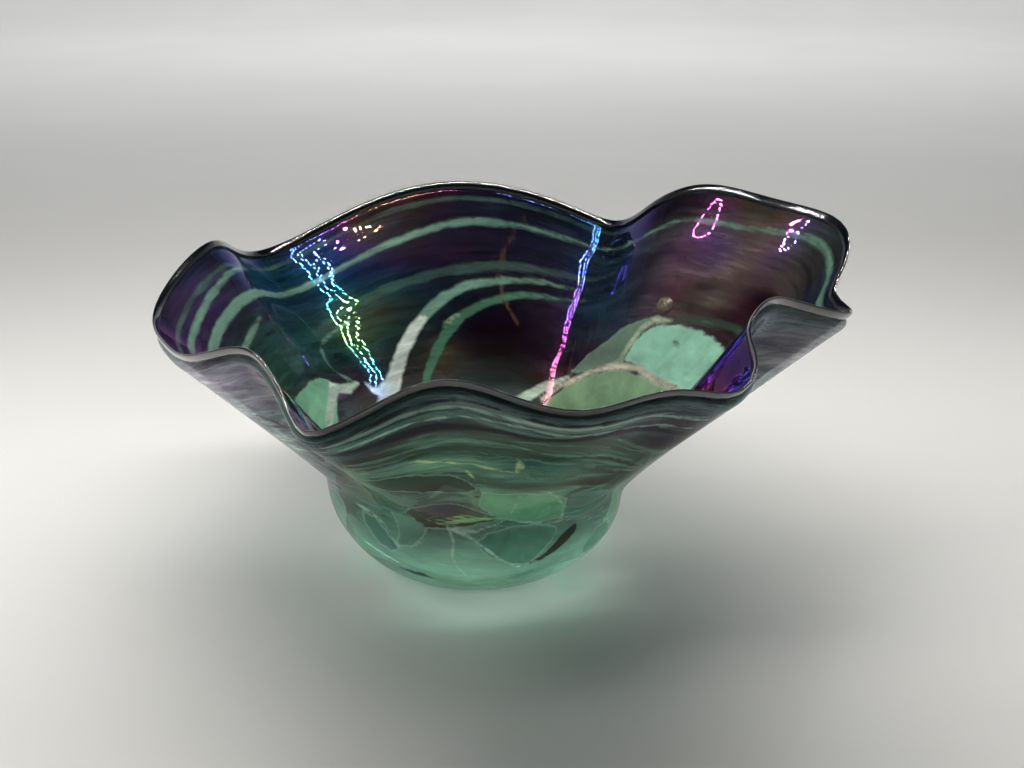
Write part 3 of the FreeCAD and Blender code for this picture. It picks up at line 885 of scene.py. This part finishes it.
def wall_colour(tree, place, glow, soft, depth, strong, milk):
    """The colour of the glass, and how much it hides."""
    grain_at = stored(tree, "grain")["Vector"]
    tone, patch, stroke = (stored(tree, name) for name in ("tone", "patch_tone", "stroke_tone"))
    broad = noise(tree, grain_at, 1.3, 4, 0.55, 0.8)
    fine = noise(tree, grain_at, 5.0, 6, 0.62, 0.4)
    cloud = noise(tree, place, 70, 4, 0.6, 0.5)
    streaks = maths(tree, "MULTIPLY", ranged(tree, broad, 0.32, 0.68, depth, 1.9),
                    spread(tree, fine, 0.45, 1.65))
    height = node(tree, "SeparateXYZ", {0: place}).outputs["Z"]
    calm = ranged(tree, height, CALM_LOW, CALM_HIGH, 0.22, 1.0)
    streaked = scaled(tree, tone["Color"], number_mix(tree, calm, 1.0, streaks))
    cloudy = scaled(tree, patch["Color"], spread(tree, cloud, 0.70, 1.30))
    thread_light = maths(tree, "MULTIPLY", spread(tree, fine, 0.70, 1.2),
                         spread(tree, broad, 0.55, 1.15))
    threaded = scaled(tree, stroke["Color"], thread_light)

    fray = maths(tree, "ADD", spread(tree, noise(tree, place, 110, 3), -0.9, 0.9),
                 spread(tree, noise(tree, place, 420, 2), -0.3, 0.3))
    edge = maths(tree, "ADD", stored(tree, "patch_edge")["Fac"], fray)
    in_patch = ranged(tree, edge, -0.5, 0.5, kind="SMOOTHSTEP")
    seam = ranged(tree, maths(tree, "ABSOLUTE", edge), 0.1, 0.9, 0.40, 0.0, "SMOOTHSTEP")
    thread_edge = maths(tree, "ADD", stored(tree, "stroke_edge")["Fac"],
                        maths(tree, "MULTIPLY", fray, 0.55))
    in_stroke = ranged(tree, thread_edge, -soft, soft, kind="SMOOTHSTEP")

    colour = colour_mix(tree, in_patch, streaked, cloudy)
    colour = colour_mix(tree, seam, colour, SEAM_LIGHT)
    # Scaling by the glow is painted light: it brightens the colour of a face lit from behind.
    colour = scaled(tree, colour_mix(tree, in_stroke, colour, threaded), glow)
    colour = shader(tree, "HueSaturation", {"Saturation": strong, "Color": colour})
    cover = number_mix(tree, in_patch, tone["Alpha"], patch["Alpha"])
    cover = number_mix(tree, in_stroke, cover, stroke["Alpha"])
    return colour, maths(tree, "MULTIPLY", cover, milk)


# %% [markdown]
# The glass is drawn as thin sheets: a ray passes straight through a face and takes its tint, so
# the bowl throws a soft coloured shadow. Refraction would bend the view through the wall, but
# would leave the shadow black without slow caustics. Milky glass hides part of what lies behind
# it and scatters light through. Over both lies the lustre, sharp where the surface is clean and
# wider where it lies thick, and faint rings and ripples break up each reflection. Each face has
# its own values: the inside is dark and mirrors strongly. The outside's colours are made nearly
# three times brighter, painted light for the light that shines through it from behind.

# %% The glass of the wall
def wavy_normal(tree, place):
    """The faint rings of the drawn-out glass, over slow swells."""
    rings = noise(tree, stored(tree, "grain")["Vector"], 1.7, 2, 0.45)
    ripple = maths(tree, "ADD", rings, maths(tree, "MULTIPLY", noise(tree, place, 90, 1), 0.10))
    return bump(tree, noise(tree, place, 32, 1), 0.50, 4 * MM,
                Normal=bump(tree, ripple, 0.15, 0.8 * MM))


def wall_glass(name, lustre, film_share, haze_share, clear, **colouring):
    material, tree = new_material(name)
    place = object_place(tree)
    colour, cover = wall_colour(tree, place, **colouring)
    shadow = node(tree, "LightPath").outputs["Is Shadow Ray"]
    sheet = clear_sheet(tree, colour, ranged(tree, shadow, 0, 1, clear, clear * 0.9))
    milky = shader(tree, "BsdfPrincipled", {"Base Color": colour, "Roughness": 0.30,
                                            "Specular IOR Level": 0.0})
    opal = shader_mix(tree, 0.42, milky, shader(tree, "BsdfTranslucent", {"Color": colour}))
    hidden = maths(tree, "MULTIPLY", cover, ranged(tree, shadow, 0, 1, 1.0, 0.92))
    body = shader_mix(tree, hidden, sheet, opal)

    tint = film_colour(tree, stored(tree, "film")["Fac"], place)
    normal = wavy_normal(tree, place)
    sharp = metal(tree, colour_mix(tree, film_share, WHITE, tint), 0.025, normal)
    haze = metal(tree, colour_mix(tree, film_share, PALE_GREY, tint), 0.30, normal)
    from_behind = node(tree, "NewGeometry").outputs["Backfacing"]
    mirror = maths(tree, "MULTIPLY", mirrored(tree, lustre),
                   ranged(tree, from_behind, 0, 1, 1.0, 0.25))
    shine = shader_mix(tree, haze_share, sharp, haze)
    finish_material(tree, shader_mix(tree, mirror, body, shine))
    return material


wall.data.materials.clear()
wall.data.materials.append(wall_glass(
    "amethyst_inside", lustre=0.095, film_share=0.92, haze_share=0.08, clear=0.48,
    glow=1.0, soft=1.0, depth=0.36, strong=1.0, milk=1.0))
# The outside's glow of 2.9 is painted light shining through from behind.
wall.data.materials.append(wall_glass(
    "green_outside", lustre=0.032, film_share=0.35, haze_share=0.06, clear=0.30,
    glow=2.9, soft=0.5, depth=0.20, strong=0.74, milk=0.80))
mean_ring = np.array([ring[list(p.vertices)].mean() for p in wall.data.polygons])
is_outer = mean_ring > LINES + 0.5
wall.data.polygons.foreach_set("material_index", is_outer.astype(np.int32))
print("inside faces", int((~is_outer).sum()), "outside faces", int(is_outer.sum()))

# %% [markdown]
# The rim's bead is the darkest glass of all, nearly black navy, because it is the thickest to
# look through. The foot is clear glass, ground matt, and the tan bead is cloudy. All three are
# plain glass with a little cloud and wear, under a thinner film than the wall's.

# %% The other glasses
def plain_glass(name, dark, light, scale, rough, mirror_share, transparent, film_share):
    material, tree = new_material(name)
    place = object_place(tree)
    drift = spread(tree, noise(tree, place, scale, 4, 0.6, 0.4), 0.0, 1.0)
    colour = colour_mix(tree, drift, (*linear(dark), 1), (*linear(light), 1))
    normal = bump(tree, noise(tree, place, scale * 3, 3), 0.25, 0.8 * MM)
    wear = ranged(tree, noise(tree, place, scale * 2, 5, 0.65), 0.3, 0.75, rough, rough + 0.12)
    solid = shader(tree, "BsdfPrincipled", {
        "Base Color": colour, "Roughness": wear, "Normal": normal, "Coat Weight": 0.6,
        "Coat Roughness": 0.04, "IOR": 1.5})
    body = shader_mix(tree, 1 - transparent, clear_sheet(tree, colour, 0.4), solid)
    film_at = maths(tree, "FRACT", maths(tree, "MULTIPLY", drift, 2.3))
    tint = colour_mix(tree, film_share, WHITE, ramp(tree, film_at, FILM_COLOURS))
    shine = metal(tree, tint, 0.04, normal)
    finish_material(tree, shader_mix(tree, mirrored(tree, mirror_share), body, shine))
    return material


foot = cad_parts["ground_foot"]
lip_glass = plain_glass("navy_lip", (.02, .03, .06), (.05, .09, .12), scale=60, rough=0.10,
                        mirror_share=0.08, transparent=0.1, film_share=0.2)
tan_glass = plain_glass("tan_glass", (.34, .30, .24), (.55, .50, .40), scale=300, rough=0.12,
                        mirror_share=0.05, transparent=0.3, film_share=0.45)
foot_glass = plain_glass("ground_clear", (.62, .74, .68), (.75, .84, .78), scale=90, rough=0.45,
                         mirror_share=0.02, transparent=0.6, film_share=0.45)
for piece, material in ((bead, lip_glass), (seed, tan_glass), (foot, foot_glass)):
    piece.data.materials.clear()
    piece.data.materials.append(material)
    print(piece.name, "is", material.name)

# %% [markdown]
# Every piece stands for the solids it replaces and rides on the one body. The wall takes the
# place of both layers, chips and bands, which in the real bowl are fused into one.

# %% Bodies
for piece, nodes, slot in ((wall, WALL_NODES, "amethyst_glass"), (bead, ["lip_bead"], "lip_glass"),
                           (seed, ["tan_seed"], "tan_glass")):
    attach(piece, "root")
    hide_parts(*nodes)
    print(piece.name, "replaces", len(nodes), "solids, slot", slot)

# %% [markdown]
# The bowl stands on a plain pale board that curves up into a wall all round it, so that there
# is no horizon behind the glass from any side. A grid is rolled up for it: one way of the grid
# runs round the bowl, the other outwards along the floor, through the curve and up the wall.

# %% Floor and backdrop
FLAT, COVE, WALL_TOP = 2.6, 1.0, 2.4    # reach of the floor, radius of the curve, top of the wall
CURVE = COVE * math.pi / 2              # length of the curve
start_clean()
bpy.ops.mesh.primitive_grid_add(x_subdivisions=96, y_subdivisions=72, size=1)
sweep = bpy.context.object
sweep.name = "sweep"
for vertex in sweep.data.vertices:
    round_angle = math.tau * vertex.co.x
    outwards = (vertex.co.y + 0.5) * (FLAT + CURVE + WALL_TOP - COVE)
    bend = min(max(outwards - FLAT, 0) / COVE, math.pi / 2)
    away = min(outwards, FLAT) + COVE * math.sin(bend)
    up = COVE * (1 - math.cos(bend)) + max(outwards - FLAT - CURVE, 0)
    vertex.co = (away * math.cos(round_angle), away * math.sin(round_angle), up)
bpy.ops.object.shade_smooth()
material, tree = new_material("pale_board")
grey = spread(tree, noise(tree, object_place(tree), 3, 3), 0.73, 0.77)
less_blue = maths(tree, "MULTIPLY", grey, 0.985)
board_colour = shader(tree, "CombineColor", {0: grey, 1: grey, 2: less_blue})
board = shader(tree, "BsdfPrincipled", {"Base Color": board_colour, "Roughness": 0.55,
                                        "Specular IOR Level": 0.25})
finish_material(tree, board)
sweep.data.materials.append(material)
sweep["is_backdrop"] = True
print("board reaches", FLAT + COVE, "m out and", WALL_TOP, "m up")

# %% [markdown]
# The only bright lamps are three thin strips of small diodes overhead, hung a little askew. The
# glass mirrors them as lines down the ruffles. Each diode is a small glowing square, so the
# lines break up into dots.

# %% Strips of diodes
LAMP_HEIGHT, DIODE_SIZE, DIODE_STEP = 0.52, 4.2 * MM, 16.6 * MM
STRIPS = [(-0.62, -0.075), (-0.63, -0.041), (-0.62, -0.005)]    # where each strip starts
DIODES = 62                             # on each strip
STRIP_TURN = math.radians(9)
material, tree = new_material("diode")
finish_material(tree, shader(tree, "Emission", {"Color": (1.0, 0.97, 0.93, 1), "Strength": 390.0}))
for number, (start, across) in enumerate(STRIPS, start=1):
    start_clean()
    bpy.ops.mesh.primitive_plane_add(size=DIODE_SIZE, location=(start, across, LAMP_HEIGHT))
    strip = bpy.context.object
    strip.name = "diode_strip_%d" % number
    bpy.ops.object.modifier_add(type="ARRAY")
    array = strip.modifiers[-1]
    array.use_relative_offset = False
    array.use_constant_offset = True
    array.constant_offset_displace = (DIODE_STEP * math.cos(STRIP_TURN),
                                      DIODE_STEP * math.sin(STRIP_TURN), 0)
    array.count = DIODES
    strip.data.materials.append(material)
    strip.visible_camera = False
    strip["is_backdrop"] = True
print(len(STRIPS), "strips of", DIODES, "diodes")

# %% [markdown]
# Three wide, soft lamps fill the rest: one over the bowl, one for the wall behind it and one for
# the wall behind the camera. The glass mirrors those walls, but not the lamps. The room's own
# light is next to nothing, so that the shadow keeps its depth.

# %% Soft lamps and the room
def soft_light(name, place, aim, size, power):
    start_clean()
    bpy.ops.object.light_add(type="AREA", location=place)
    lamp = bpy.context.object
    lamp.name = name
    lamp.data.shape = "RECTANGLE"
    lamp.data.size, lamp.data.size_y = size
    lamp.data.energy = power
    lamp.rotation_euler = (Vector(aim) - Vector(place)).to_track_quat("-Z", "Y").to_euler()
    lamp.visible_glossy = False
    print(name, power, "W")


soft_light("overhead_soft", (-0.12, 0.05, 1.1), (0, 0, 0), (1.2, 0.12), 0.9)
soft_light("backdrop_soft", (0.0, 2.0, 1.7), (0, 2.2, 0.0), (2.6, 0.9), 37.0)
soft_light("front_wall_soft", (0.0, -2.3, 1.7), (0, -2.6, 0.0), (3.0, 0.9), 8.0)
world = bpy.data.worlds.new("room")
bpy.context.scene.world = world
world.use_nodes = True
background = world.node_tree.nodes["Background"]
background.inputs["Color"].default_value = (0.80, 0.81, 0.82, 1)
background.inputs["Strength"].default_value = 0.01
bpy.context.scene.view_settings.view_transform = "Standard"
bpy.context.scene.view_settings.look = "None"

# %% [markdown]
# Last, the size: the box round everything drawn, leaving out the board and the diode strips.
# Last, the size: the glass has to stay within a few millimetres of the frame's own box.

# %% The size
low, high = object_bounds()
print("visual box", [round(v, 4) for v in (*low, *high)])
